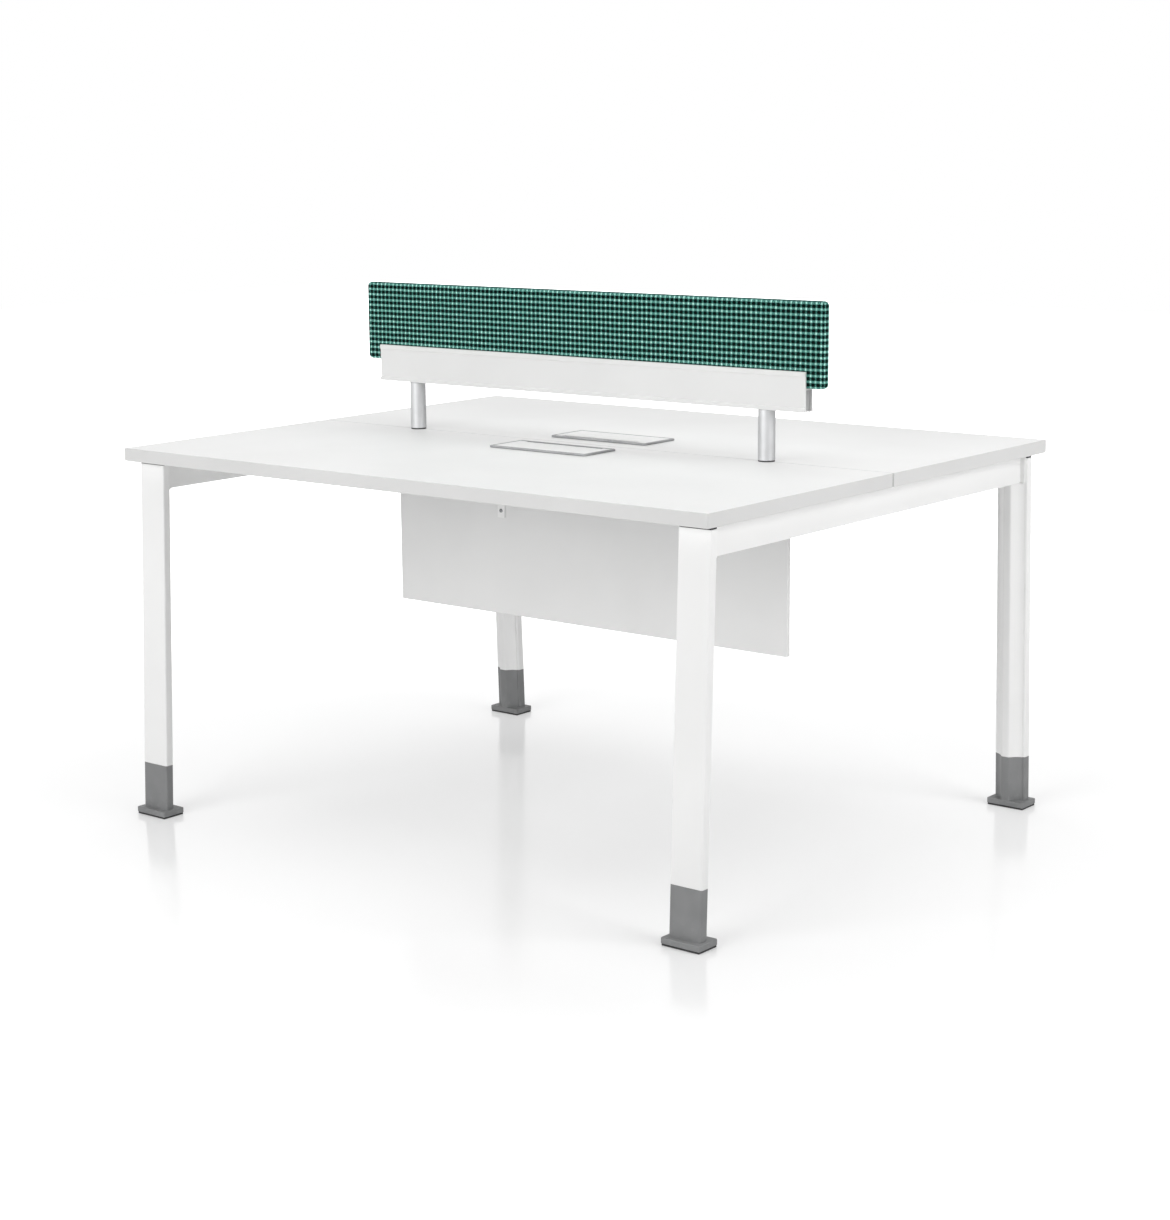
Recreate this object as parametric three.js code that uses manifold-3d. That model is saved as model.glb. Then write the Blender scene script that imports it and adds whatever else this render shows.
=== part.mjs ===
// Benching desk for two: two worktops on splayed legs, with a fabric screen, cable flaps and a modesty panel.
// Sizes are in millimetres. X runs along the desk, Y from one user to the other, Z up from the floor.
import * as THREE from "three";
import { mergeVertices } from "three/addons/utils/BufferGeometryUtils.js";
import Module from "manifold-3d";

const wasm = await Module();
wasm.setup();

// Worktops
const DESK_LENGTH = 1400;
const DESK_HEIGHT = 735;
const TOP_DEPTH = 559;
const TOP_THICKNESS = 25;
const TOP_CORNER = 3;
const TOP_EASE = 0.8;
const SEAM_GAP = 2;

// Clearance between pieces that rest on each other, and around pieces that slip into each other
const SEAT = 0.3;
const PLAY = 0.5;

// Legs: lipped channels, flat face outwards, further out at the floor than at the worktop by LEG_SPLAY
const LEG_WIDTH = 66;
const LEG_SIDE = 19.5;
const LEG_WALL = 2;
const LEG_BEND = 2;
const LEG_LIP = 14;
const LEG_END_INSET = 14;
const LEG_EDGE_INSET = 29;
const LEG_SPLAY = 27;

// Covers that snap between the lips of the legs: a flat front, and flanks that run out hollow to thin edges
const COVER_OVERLAP = 9.5;
const COVER_RISE = 19;
const COVER_FRONT = 16;
const COVER_SHOULDER = 3;
const COVER_EDGE = 1.2;
const HOLLOW_INSET = 8.5;
const HOLLOW_RISE = 2.8;
const COVER_WALL = 1.8;
const HOOK_REACH = 1.5;
const HOOK_LENGTH = 2.5;

// Caps between the leg heads and the worktops
const CAP_THICKNESS = 6.5;
const CAP_INSET = 1;
const CAP_PLUG = 12;

// Boots: FLANGE_TOE is how far the flange stands in front of the leg's flat face
const BOOT_TOP = 104;
const SPIGOT_LENGTH = 30;
const FLANGE_WIDTH = 80;
const FLANGE_DEPTH = 53;
const FLANGE_THICKNESS = 11;
const FLANGE_TOE = 13;
const FLANGE_CORNER = 3;
const FLANGE_ROUND = 1.5;

// Levelling glides: pads a little smaller than the flanges, on threaded stems
const GLIDE_INSET = 1;
const GLIDE_THICKNESS = 3;
const GLIDE_EASE = 0.6;
const STEM_RADIUS = 4;
const STEM_LENGTH = 46;

// End rails and the plates that bolt them to the legs
const RAIL_WIDTH = 40;
const RAIL_HEIGHT = 55;
const TUBE_WALL = 2;
const PLATE = 4;
const RAIL_PLATE_WIDTH = 58;
const NUT_PLATE_WIDTH = 46;
const FRAME_BOLT_SPACING = 26;
const FRAME_BOLT_HOLE = 4.5;

// Beams from one end rail to the other
const BEAM_OFFSET = 190;
const BEAM_WIDTH = 25;
const BEAM_HEIGHT = 50;
const BEAM_PLATE_MARGIN = 20;

// Cable tray between the beams
const TRAY_LENGTH = 1000;
const TRAY_HEIGHT = 60;
const TRAY_TOP_GAP = 5;
const TRAY_SHEET = 1.5;
const TIE_SLOT_LENGTH = 40;
const TIE_SLOT_WIDTH = 8;
const TIE_SLOT_PITCH = 160;
const TIE_SLOT_OFFSET = 95;

// Modesty panel and its hangers
const PANEL_LENGTH = 964;
const PANEL_THICKNESS = 9;
const PANEL_HEIGHT = 270;
const PANEL_CORNER = 2;
const PANEL_EASE = 0.8;
const HANGER_LEFT = 205;
const HANGER_RIGHT = 262;
const HANGER_WIDTH = 18;
const HANGER_DROP = 73;
const HANGER_FLANGE = 30;
const HANGER_SHEET = 2;

// Cable flaps: a metal frame in a cut-out, with a lid hinged on the side next to the screen
const FLAP_LENGTH = 236;
const FLAP_DEPTH = 98;
const FLAP_OFFSET = 94;
const FLAP_RISE = 4;
const FLAP_CORNER = 6;
const FLAP_EASE = 1;
const FLAP_LAP = 4;
const CUTOUT_CORNER = 4;
const COLLAR_DEPTH = 21;
const COLLAR_WALL = 2.5;
const LEDGE_WIDTH = 3;
const LEDGE_THICKNESS = 3;
const LID_THICKNESS = 3;
const LID_EASE = 0.4;
const LID_CORNER = 1.5;
const CABLE_SLOT = 10;
const LUG_LENGTH = 16;
const KNUCKLE_RADIUS = 2.5;
const KNUCKLE_GAP = 1.2;
const PIN_RADIUS = 1;
const PIN_LENGTH = 10;
const PIN_PLAY = 0.2;
const PIN_BITE = 2;

// Screen and the rail that grips its lower edge
const SCREEN_LENGTH = 1116;
const SCREEN_HEIGHT = 157;
const SCREEN_THICKNESS = 18;
const SCREEN_CORNER = 9;
const SCREEN_ROUND = 2.5;
const SCREEN_GRIP = 30;
const CHANNEL_LENGTH = 1042;
const CHANNEL_HEIGHT = 73;
const CHANNEL_THICKNESS = 28;
const CHANNEL_WEB = 2.5;
const UPPER_BEAD = 8;
const LOWER_BEAD = 6;
const BEAD_STEP = 2;
const T_SLOT_WIDTH = 9.5;
const END_PLUG_LENGTH = 14;
const END_PLUG_RECESS = 4;
const END_PLUG_CORNER = 2;
const END_PLUG_EASE = 1;

// Posts under the screen's rail, and the T-bolts that clamp them through the seam
const POST_INSET = 91;
const POST_HEIGHT = 96;
const POST_RADIUS = 16;
const POST_WALL = 3;
const POST_EASE = 0.8;
const RING_THICKNESS = 1.5;
const RING_INSET = 0.5;
const T_BOLT_RADIUS = 4;
const T_HEAD_WIDTH = 16;
const T_HEAD_THICKNESS = 5;
const T_BOLT_TAIL = 3;
const CLAMP_LENGTH = 70;
const CLAMP_WIDTH = 90;
const NUT_ACROSS_CORNERS = 15;
const NUT_THICKNESS = 6.5;

// Facets of curves: on each quarter of a small corner, around a round piece, and on a shoulder or knuckle
const CORNER_FACETS = 2;
const ROUND_FACETS = 28;
const BEND_FACETS = 5;
const WELD = 1e-4;

// Levels and positions that several pieces share
const underside = DESK_HEIGHT - TOP_THICKNESS;
const halfDepth = TOP_DEPTH + SEAM_GAP / 2;
const legX = DESK_LENGTH / 2 - LEG_END_INSET - LEG_WIDTH / 2;
const legFaceAtHead = halfDepth - LEG_EDGE_INSET;
const legFaceAtFloor = legFaceAtHead + LEG_SPLAY;
const splaySlope = LEG_SPLAY / underside;
const frameTop = underside - SEAT;
const capBottom = frameTop - CAP_THICKNESS;
const legHead = capBottom - SEAT;
const lipGap = LEG_WIDTH / 2 - LEG_LIP;
const cavityHalf = LEG_WIDTH / 2 - LEG_WALL;
const cavityBack = LEG_SIDE - LEG_WALL;
const coverHalf = lipGap + COVER_OVERLAP;
const coverFoot = LEG_SIDE + SEAT;
const hollowX = coverHalf - HOLLOW_INSET;
const flankSlope = (hollowX - COVER_FRONT / 2) / (COVER_RISE - HOLLOW_RISE);
const railBottom = frameTop - RAIL_HEIGHT;
const railMiddle = frameTop - RAIL_HEIGHT / 2;
const trayBottom = underside - TRAY_TOP_GAP - TRAY_HEIGHT;
const channelBottom = DESK_HEIGHT + POST_HEIGHT;
const postX = CHANNEL_LENGTH / 2 - POST_INSET;
const screenBottom = channelBottom + CHANNEL_HEIGHT - SCREEN_GRIP;
const chamberFloor = channelBottom + CHANNEL_WEB;
const chamberTop = screenBottom - SEAT - CHANNEL_WEB;
const chamberHalf = SCREEN_THICKNESS / 2 + SEAT;
const flangeBottom = GLIDE_THICKNESS + SEAT;
const glideY = -legFaceAtFloor - FLANGE_TOE + FLANGE_DEPTH / 2;

// Finishes
const laminate = { color: 0xf1f1ef, roughness: 0.45, metalness: 0 };
const whitePaint = { color: 0xefefed, roughness: 0.4, metalness: 0 };
const whiteBoard = { color: 0xe4e4e2, roughness: 0.5, metalness: 0 };
const greyPlastic = { color: 0x868787, roughness: 0.55, metalness: 0 };
const darkPlastic = { color: 0x2a2b2c, roughness: 0.6, metalness: 0 };
const satinAluminium = { color: 0xc9cbcc, roughness: 0.3, metalness: 1 };
const greyPaint = { color: 0xb9bbbb, roughness: 0.5, metalness: 0 };
const zincSteel = { color: 0xa8abad, roughness: 0.35, metalness: 1 };
const greenFabric = { color: 0x4a8a72, roughness: 0.95, metalness: 0 };

const desk = new THREE.Group();
desk.name = "benching_desk";

function add(parent, name, geometry, finish) {
  const mesh = new THREE.Mesh(geometry, new THREE.MeshStandardMaterial(finish));
  mesh.name = name;
  parent.add(mesh);
}

// Solids: joining and cutting closed shapes
function toSolid(geometry) {
  const bare = geometry.clone();
  bare.deleteAttribute("normal");
  bare.deleteAttribute("uv");
  const welded = mergeVertices(bare, WELD);
  return new wasm.Manifold(new wasm.Mesh({
    numProp: 3,
    vertProperties: new Float32Array(welded.attributes.position.array),
    triVerts: new Uint32Array(welded.index.array),
  }));
}

function toGeometry(solid) {
  const mesh = solid.getMesh();
  const geometry = new THREE.BufferGeometry();
  geometry.setAttribute("position", new THREE.BufferAttribute(mesh.vertProperties, 3));
  geometry.setIndex(new THREE.BufferAttribute(mesh.triVerts, 1));
  geometry.computeVertexNormals();
  return geometry;
}

function join(...pieces) {
  return toGeometry(pieces.map(toSolid).reduce((whole, piece) => whole.add(piece)));
}

function cut(body, ...tools) {
  return toGeometry(tools.map(toSolid).reduce((left, tool) => left.subtract(tool), toSolid(body)));
}

// Basic shapes
function block(lowX, highX, lowY, highY, lowZ, highZ) {
  const box = new THREE.BoxGeometry(highX - lowX, highY - lowY, highZ - lowZ);
  return box.translate((lowX + highX) / 2, (lowY + highY) / 2, (lowZ + highZ) / 2);
}

function upright(radius, lowZ, highZ, facets = ROUND_FACETS) {
  const rod = new THREE.CylinderGeometry(radius, radius, highZ - lowZ, facets);
  return rod.rotateX(Math.PI / 2).translate(0, 0, (lowZ + highZ) / 2);
}

function turned(points) {
  const profile = points.map(([radius, height]) => new THREE.Vector2(radius, height));
  return new THREE.LatheGeometry(profile, ROUND_FACETS).rotateX(Math.PI / 2);
}

function polygon(points) {
  return new THREE.Shape(points.map(([x, y]) => new THREE.Vector2(x, y)));
}

function roundedRectangle(path, centreX, centreY, width, height, radius) {
  const left = centreX - width / 2 + radius;
  const right = centreX + width / 2 - radius;
  const low = centreY - height / 2 + radius;
  const high = centreY + height / 2 - radius;
  path.absarc(right, high, radius, 0, Math.PI / 2);
  path.absarc(left, high, radius, Math.PI / 2, Math.PI);
  path.absarc(left, low, radius, Math.PI, Math.PI * 1.5);
  path.absarc(right, low, radius, Math.PI * 1.5, Math.PI * 2);
  path.closePath();
  return path;
}

function prism(shape, lowZ, highZ, facets = CORNER_FACETS) {
  const options = { depth: highZ - lowZ, bevelEnabled: false, curveSegments: facets };
  return new THREE.ExtrudeGeometry(shape, options).translate(0, 0, lowZ);
}

// A plate from z = 0 up, with its edges eased or rounded
function plate(shape, thickness, ease, easeFacets = 1) {
  const options = {
    depth: thickness - 2 * ease,
    bevelThickness: ease,
    bevelSize: ease,
    bevelOffset: -ease,
    bevelSegments: easeFacets,
    curveSegments: CORNER_FACETS,
  };
  return new THREE.ExtrudeGeometry(shape, options).translate(0, 0, ease);
}

// Turns a prism drawn as (Y, Z) so that it runs along X
function alongX(geometry) {
  const axes = new THREE.Matrix4().makeBasis(
    new THREE.Vector3(0, 1, 0),
    new THREE.Vector3(0, 0, 1),
    new THREE.Vector3(1, 0, 0),
  );
  return geometry.applyMatrix4(axes);
}

// Turns a plate drawn as (X, Z) to stand upright, centred on y = 0
function standing(geometry, thickness) {
  return geometry.rotateX(Math.PI / 2).translate(0, thickness / 2, 0);
}

// Leans a piece drawn upright, with the leg's flat face on y = 0, to the splay of a front leg
function splayed(geometry) {
  const lean = new THREE.Matrix4().makeShear(0, 0, 0, 0, 0, splaySlope);
  return geometry.translate(0, 0, -underside).applyMatrix4(lean).translate(0, -legFaceAtHead, underside);
}

// Worktop: rounded corners, cut-out for the cable flap, half-round notches for the T-bolts on the seam
function worktop() {
  const outline = roundedRectangle(
    new THREE.Shape(), 0, -(SEAM_GAP + TOP_DEPTH) / 2, DESK_LENGTH, TOP_DEPTH, TOP_CORNER,
  );
  const cutoutLength = FLAP_LENGTH - 2 * FLAP_LAP;
  const cutoutDepth = FLAP_DEPTH - 2 * FLAP_LAP;
  outline.holes.push(
    roundedRectangle(new THREE.Path(), 0, -FLAP_OFFSET, cutoutLength, cutoutDepth, CUTOUT_CORNER),
  );
  const board = plate(outline, TOP_THICKNESS, TOP_EASE).translate(0, 0, underside);
  const notch = upright(T_BOLT_RADIUS + PLAY, underside - PLAY, DESK_HEIGHT + PLAY, ROUND_FACETS / 2);
  return cut(board, notch.clone().translate(-postX, 0, 0), notch.clone().translate(postX, 0, 0));
}

// Section of a leg: a flat face, two sides, and a lip turned in from each side
function legSection() {
  const half = LEG_WIDTH / 2;
  const outer = LEG_BEND + LEG_WALL;
  const inner = cavityHalf - LEG_BEND;
  const front = LEG_WALL + LEG_BEND;
  const back = cavityBack - LEG_BEND;
  const section = new THREE.Shape();
  section.moveTo(-lipGap, LEG_SIDE);
  section.absarc(outer - half, LEG_SIDE - outer, outer, Math.PI / 2, Math.PI);
  section.absarc(outer - half, outer, outer, Math.PI, Math.PI * 1.5);
  section.absarc(half - outer, outer, outer, Math.PI * 1.5, Math.PI * 2);
  section.absarc(half - outer, LEG_SIDE - outer, outer, 0, Math.PI / 2);
  section.lineTo(lipGap, LEG_SIDE);
  section.lineTo(lipGap, cavityBack);
  section.absarc(inner, back, LEG_BEND, Math.PI / 2, 0, true);
  section.absarc(inner, front, LEG_BEND, Math.PI * 2, Math.PI * 1.5, true);
  section.absarc(-inner, front, LEG_BEND, Math.PI * 1.5, Math.PI, true);
  section.absarc(-inner, back, LEG_BEND, Math.PI, Math.PI / 2, true);
  section.lineTo(-lipGap, cavityBack);
  section.closePath();
  return section;
}

function leg() {
  return splayed(prism(legSection(), BOOT_TOP + SEAT, legHead));
}

// Outside of a leg cover, from its right edge over both shoulders to its left edge
function coverOutside(section) {
  const front = COVER_FRONT / 2;
  const top = coverFoot + COVER_RISE;
  const down = COVER_SHOULDER / Math.hypot(1, flankSlope);
  const shoulderX = front + down * flankSlope;
  const edge = coverFoot + COVER_EDGE;
  const hollow = coverFoot + HOLLOW_RISE;
  section.lineTo(coverHalf, coverFoot);
  section.lineTo(coverHalf, edge);
  section.quadraticCurveTo(hollowX, hollow, shoulderX, top - down);
  section.quadraticCurveTo(front, top, front - COVER_SHOULDER, top);
  section.lineTo(COVER_SHOULDER - front, top);
  section.quadraticCurveTo(-front, top, -shoulderX, top - down);
  section.quadraticCurveTo(-hollowX, hollow, -coverHalf, edge);
  section.lineTo(-coverHalf, coverFoot);
}

// Section of a leg cover: a folded wall on the lips, with a hook behind each lip
function coverSection() {
  const hookOut = lipGap - SEAT;
  const hookIn = hookOut - COVER_WALL;
  const hookTop = cavityBack - SEAT;
  const hookTip = hookTop - HOOK_LENGTH;
  const flankFoot = COVER_FRONT / 2 + flankSlope * COVER_RISE;
  const innerFoot = flankFoot - COVER_WALL * Math.hypot(1, flankSlope);
  const innerRise = COVER_RISE - COVER_WALL;
  const innerFront = innerFoot - flankSlope * innerRise;
  const innerTop = coverFoot + innerRise;
  const innerStart = coverFoot + (innerFoot - hookIn) / flankSlope;
  const section = new THREE.Shape();
  section.moveTo(hookOut, coverFoot);
  coverOutside(section);
  section.lineTo(-hookOut, coverFoot);
  section.lineTo(-hookOut, hookTop);
  section.lineTo(-hookOut - HOOK_REACH, hookTop);
  section.lineTo(-hookOut, hookTip);
  section.lineTo(-hookIn, hookTip);
  section.lineTo(-hookIn, innerStart);
  section.lineTo(-innerFront, innerTop);
  section.lineTo(innerFront, innerTop);
  section.lineTo(hookIn, innerStart);
  section.lineTo(hookIn, hookTip);
  section.lineTo(hookOut, hookTip);
  section.lineTo(hookOut + HOOK_REACH, hookTop);
  section.lineTo(hookOut, hookTop);
  section.closePath();
  return section;
}

function legCover() {
  return splayed(prism(coverSection(), BOOT_TOP + SEAT, railBottom - PLAY, BEND_FACETS));
}

// Cap: a plate a little smaller than the leg, with a plug that goes down inside it
function legCap() {
  const width = LEG_WIDTH - 2 * CAP_INSET;
  const depth = LEG_SIDE - 2 * CAP_INSET;
  const outline = roundedRectangle(new THREE.Shape(), 0, LEG_SIDE / 2, width, depth, LEG_BEND);
  const plug = legPlug(cavityBack - SEAT - PLATE - PLAY, legHead - CAP_PLUG, capBottom + PLAY);
  return splayed(join(prism(outline, capBottom, frameTop), plug));
}

// Core that slips inside a leg, from behind its flat face to the given depth
function legPlug(back, low, high) {
  const front = LEG_WALL + PLAY;
  const width = 2 * (cavityHalf - PLAY);
  const outline = roundedRectangle(new THREE.Shape(), 0, (front + back) / 2, width, back - front, LEG_BEND);
  return prism(outline, low, high);
}

// Outline that a boot shares with the leg and cover above it
function bootSection() {
  const half = LEG_WIDTH / 2;
  const outer = LEG_BEND + LEG_WALL;
  const section = new THREE.Shape();
  section.moveTo(coverHalf, LEG_SIDE);
  coverOutside(section);
  section.lineTo(-coverHalf, LEG_SIDE);
  section.absarc(outer - half, LEG_SIDE - outer, outer, Math.PI / 2, Math.PI);
  section.absarc(outer - half, outer, outer, Math.PI, Math.PI * 1.5);
  section.absarc(half - outer, outer, outer, Math.PI * 1.5, Math.PI * 2);
  section.absarc(half - outer, LEG_SIDE - outer, outer, 0, Math.PI / 2);
  section.closePath();
  return section;
}

// Boot: leaning body, a spigot up into the leg, a level flange, and an upright bore for the glide's stem
function boot() {
  const flangeMiddle = flangeBottom + FLANGE_THICKNESS / 2;
  const body = splayed(prism(bootSection(), flangeMiddle, BOOT_TOP, BEND_FACETS));
  const spigotBack = cavityBack - SEAT - HOOK_LENGTH - PLAY;
  const spigot = splayed(legPlug(spigotBack, BOOT_TOP - PLAY, BOOT_TOP + SPIGOT_LENGTH));
  const outline = roundedRectangle(new THREE.Shape(), 0, 0, FLANGE_WIDTH, FLANGE_DEPTH, FLANGE_CORNER);
  const flange = plate(outline, FLANGE_THICKNESS, FLANGE_ROUND, CORNER_FACETS);
  flange.translate(0, glideY, flangeBottom);
  const boreTop = GLIDE_THICKNESS + STEM_LENGTH + PLAY;
  const bore = upright(STEM_RADIUS + PLAY, 0, boreTop, ROUND_FACETS / 2).translate(0, glideY, 0);
  return cut(join(body, spigot, flange), bore);
}

// Glide: a pad under the flange, on a stem that screws up into the boot
function glide() {
  const width = FLANGE_WIDTH - 2 * GLIDE_INSET;
  const depth = FLANGE_DEPTH - 2 * GLIDE_INSET;
  const outline = roundedRectangle(new THREE.Shape(), 0, 0, width, depth, FLANGE_CORNER - GLIDE_INSET);
  const pad = plate(outline, GLIDE_THICKNESS, GLIDE_EASE);
  const stem = upright(STEM_RADIUS, GLIDE_THICKNESS / 2, GLIDE_THICKNESS + STEM_LENGTH, ROUND_FACETS / 2);
  return join(pad, stem).translate(0, glideY, 0);
}

// Nut plate: sits in the leg behind the lips, up to the cap, with a hole for each bolt of the end rail
function nutPlate() {
  const half = NUT_PLATE_WIDTH / 2;
  const face = cavityBack - SEAT;
  const body = block(-half, half, face - PLATE, face, 2 * railMiddle - legHead, legHead);
  return splayed(cut(body, ...frameBoltHoles(LEG_WIDTH)));
}

// Bores along Y for the bolts of an end rail, from y = -reach to y = reach
function frameBoltHoles(reach) {
  const bore = new THREE.CylinderGeometry(FRAME_BOLT_HOLE, FRAME_BOLT_HOLE, 2 * reach, ROUND_FACETS / 2);
  const upper = bore.clone().translate(0, 0, railMiddle + FRAME_BOLT_SPACING / 2);
  const lower = bore.clone().translate(0, 0, railMiddle - FRAME_BOLT_SPACING / 2);
  return [upper, lower];
}

// How far from the desk's middle the inner side of the legs stands at a given height
function lipPlane(height) {
  return legFaceAtHead - LEG_SIDE + splaySlope * (underside - height);
}

// End rail: a tube whose ends follow the leaning legs, with a bolted plate on each end
function endRail() {
  const lowEnd = lipPlane(railBottom) - SEAT - PLATE;
  const highEnd = lipPlane(frameTop) - SEAT - PLATE;
  const side = polygon([
    [-lowEnd, railBottom],
    [lowEnd, railBottom],
    [highEnd, frameTop],
    [-highEnd, frameTop],
  ]);
  const bar = alongX(prism(side, -RAIL_WIDTH / 2, RAIL_WIDTH / 2));
  const hollowHalf = RAIL_WIDTH / 2 - TUBE_WALL;
  const hollow = block(
    -hollowHalf, hollowHalf, -halfDepth, halfDepth, railBottom + TUBE_WALL, frameTop - TUBE_WALL,
  );
  const tube = cut(bar, hollow);
  const end = polygon([
    [lowEnd - PLAY, railBottom],
    [lowEnd + PLATE, railBottom],
    [highEnd + PLATE, frameTop],
    [highEnd - PLAY, frameTop],
  ]);
  const rearPlate = alongX(prism(end, -RAIL_PLATE_WIDTH / 2, RAIL_PLATE_WIDTH / 2));
  const frontPlate = rearPlate.clone().rotateZ(Math.PI);
  return cut(join(tube, rearPlate, frontPlate), ...frameBoltHoles(halfDepth));
}

// Beam: a tube with a plate on each end, bolted to the inner sides of the end rails
function beam() {
  const length = legX - RAIL_WIDTH / 2 - SEAT;
  const bottom = frameTop - BEAM_HEIGHT;
  const middle = frameTop - BEAM_HEIGHT / 2;
  const halfPlate = BEAM_WIDTH / 2 + BEAM_PLATE_MARGIN;
  const section = roundedRectangle(
    new THREE.Shape(), -BEAM_OFFSET, middle, BEAM_WIDTH, BEAM_HEIGHT, 2 * TUBE_WALL,
  );
  const hollowWidth = BEAM_WIDTH - 2 * TUBE_WALL;
  const hollowHeight = BEAM_HEIGHT - 2 * TUBE_WALL;
  const hollow = roundedRectangle(
    new THREE.Path(), -BEAM_OFFSET, middle, hollowWidth, hollowHeight, TUBE_WALL,
  );
  section.holes.push(hollow);
  const tube = alongX(prism(section, -length + PLATE / 2, length - PLATE / 2));
  const plateLow = bottom + PLAY;
  const plateHigh = frameTop - PLAY;
  const right = block(
    length - PLATE, length, -BEAM_OFFSET - halfPlate, -BEAM_OFFSET + halfPlate, plateLow, plateHigh,
  );
  const left = right.clone().translate(PLATE - 2 * length, 0, 0);
  const bore = new THREE.CylinderGeometry(FRAME_BOLT_HOLE, FRAME_BOLT_HOLE, 3 * length, ROUND_FACETS / 2);
  bore.rotateZ(Math.PI / 2).translate(0, -BEAM_OFFSET, middle);
  const boltY = BEAM_WIDTH / 2 + BEAM_PLATE_MARGIN / 2;
  const outerBore = bore.clone().translate(0, -boltY, 0);
  const innerBore = bore.clone().translate(0, boltY, 0);
  return cut(join(tube, left, right), bore, outerBore, innerBore);
}

// Cable tray: folded sheet between the beams, with slots for cable ties in its floor
function cableTray() {
  const out = BEAM_OFFSET - BEAM_WIDTH / 2 - SEAT;
  const inside = out - TRAY_SHEET;
  const rim = trayBottom + TRAY_HEIGHT;
  const floor = trayBottom + TRAY_SHEET;
  const section = polygon([
    [-out, trayBottom], [out, trayBottom], [out, rim], [inside, rim],
    [inside, floor], [-inside, floor], [-inside, rim], [-out, rim],
  ]);
  const sheet = alongX(prism(section, -TRAY_LENGTH / 2, TRAY_LENGTH / 2));
  const slotOutline = roundedRectangle(
    new THREE.Shape(), 0, 0, TIE_SLOT_LENGTH, TIE_SLOT_WIDTH, TIE_SLOT_WIDTH * 0.49,
  );
  const slot = prism(slotOutline, trayBottom - PLAY, floor + PLAY);
  const pairs = Math.floor((TRAY_LENGTH / 2 - TIE_SLOT_LENGTH) / TIE_SLOT_PITCH);
  const slots = [];
  for (let step = -pairs; step <= pairs; step += 1) {
    slots.push(slot.clone().translate(step * TIE_SLOT_PITCH, -TIE_SLOT_OFFSET, 0));
    slots.push(slot.clone().translate(step * TIE_SLOT_PITCH, TIE_SLOT_OFFSET, 0));
  }
  return cut(sheet, ...slots);
}

// Modesty panel: a board that hangs just under the tray
function modestyPanel() {
  const top = trayBottom - SEAT;
  const outline = roundedRectangle(
    new THREE.Shape(), 0, top - PANEL_HEIGHT / 2, PANEL_LENGTH, PANEL_HEIGHT, PANEL_CORNER,
  );
  return standing(plate(outline, PANEL_THICKNESS, PANEL_EASE), PANEL_THICKNESS);
}

// Hanger: a strap on the panel's face, folded over at the top to meet the tray's floor
function panelHanger() {
  const face = -PANEL_THICKNESS / 2 - SEAT;
  const front = face - HANGER_SHEET;
  const top = trayBottom - SEAT;
  const section = polygon([
    [front, top - HANGER_DROP],
    [face, top - HANGER_DROP],
    [face, top],
    [front - HANGER_FLANGE, top],
    [front - HANGER_FLANGE, top - HANGER_SHEET],
    [front, top - HANGER_SHEET],
  ]);
  return alongX(prism(section, -HANGER_WIDTH / 2, HANGER_WIDTH / 2));
}

// Cable flap: sizes of its opening and hinge, measured from the flap's middle and the worktop's surface
const collarHalfX = FLAP_LENGTH / 2 - FLAP_LAP - SEAT;
const collarHalfY = FLAP_DEPTH / 2 - FLAP_LAP - SEAT;
const openHalfX = collarHalfX - COLLAR_WALL;
const openHalfY = collarHalfY - COLLAR_WALL;
const hingeY = openHalfY - KNUCKLE_GAP - KNUCKLE_RADIUS;
const hingeZ = FLAP_RISE - KNUCKLE_RADIUS;
const lidHalfX = openHalfX - PLAY;
const lidFront = PLAY - openHalfY;
const lidRear = openHalfY - CABLE_SLOT;
const lidUnderside = FLAP_RISE - LID_THICKNESS;

// Moves a flap piece drawn about the flap's middle to its place in the front worktop
function inFrontTop(geometry) {
  return geometry.translate(0, -FLAP_OFFSET, DESK_HEIGHT);
}

function alongHinge(radius, lowX, highX) {
  const rod = new THREE.CylinderGeometry(radius, radius, highX - lowX, ROUND_FACETS / 2);
  return rod.rotateZ(Math.PI / 2).translate((lowX + highX) / 2, hingeY, hingeZ);
}

// Frame of a flap: a low flange on the worktop, a collar down the cut-out, and a ledge under the lid
function flapFrame() {
  const flangeOutline = roundedRectangle(new THREE.Shape(), 0, 0, FLAP_LENGTH, FLAP_DEPTH, FLAP_CORNER);
  const flange = plate(flangeOutline, FLAP_RISE - SEAT, FLAP_EASE, CORNER_FACETS).translate(0, 0, SEAT);
  const collarOutline = roundedRectangle(
    new THREE.Shape(), 0, 0, 2 * collarHalfX, 2 * collarHalfY, CUTOUT_CORNER,
  );
  const collar = prism(collarOutline, -COLLAR_DEPTH, FLAP_RISE / 2);
  const openingOutline = roundedRectangle(new THREE.Shape(), 0, 0, 2 * openHalfX, 2 * openHalfY, LID_CORNER);
  const opening = prism(openingOutline, -COLLAR_DEPTH - PLAY, FLAP_RISE + PLAY);
  const ledgeTop = lidUnderside - SEAT;
  const ledgeLow = ledgeTop - LEDGE_THICKNESS;
  const ledgeX = openHalfX - LEDGE_WIDTH;
  const ledgeY = openHalfY - LEDGE_WIDTH;
  const wallX = openHalfX + PLAY;
  const wallY = openHalfY + PLAY;
  const frontLedge = block(-wallX, wallX, -wallY, -ledgeY, ledgeLow, ledgeTop);
  const rightLedge = block(ledgeX, wallX, -wallY, lidRear - PLAY, ledgeLow, ledgeTop);
  const leftLedge = block(-wallX, -ledgeX, -wallY, lidRear - PLAY, ledgeLow, ledgeTop);
  const ring = cut(join(flange, collar), opening);
  const pinReach = openHalfX + PIN_BITE + SEAT;
  const pinHole = alongHinge(PIN_RADIUS + PIN_PLAY, -pinReach, pinReach);
  return inFrontTop(cut(join(ring, frontLedge, rightLedge, leftLedge), pinHole));
}

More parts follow.
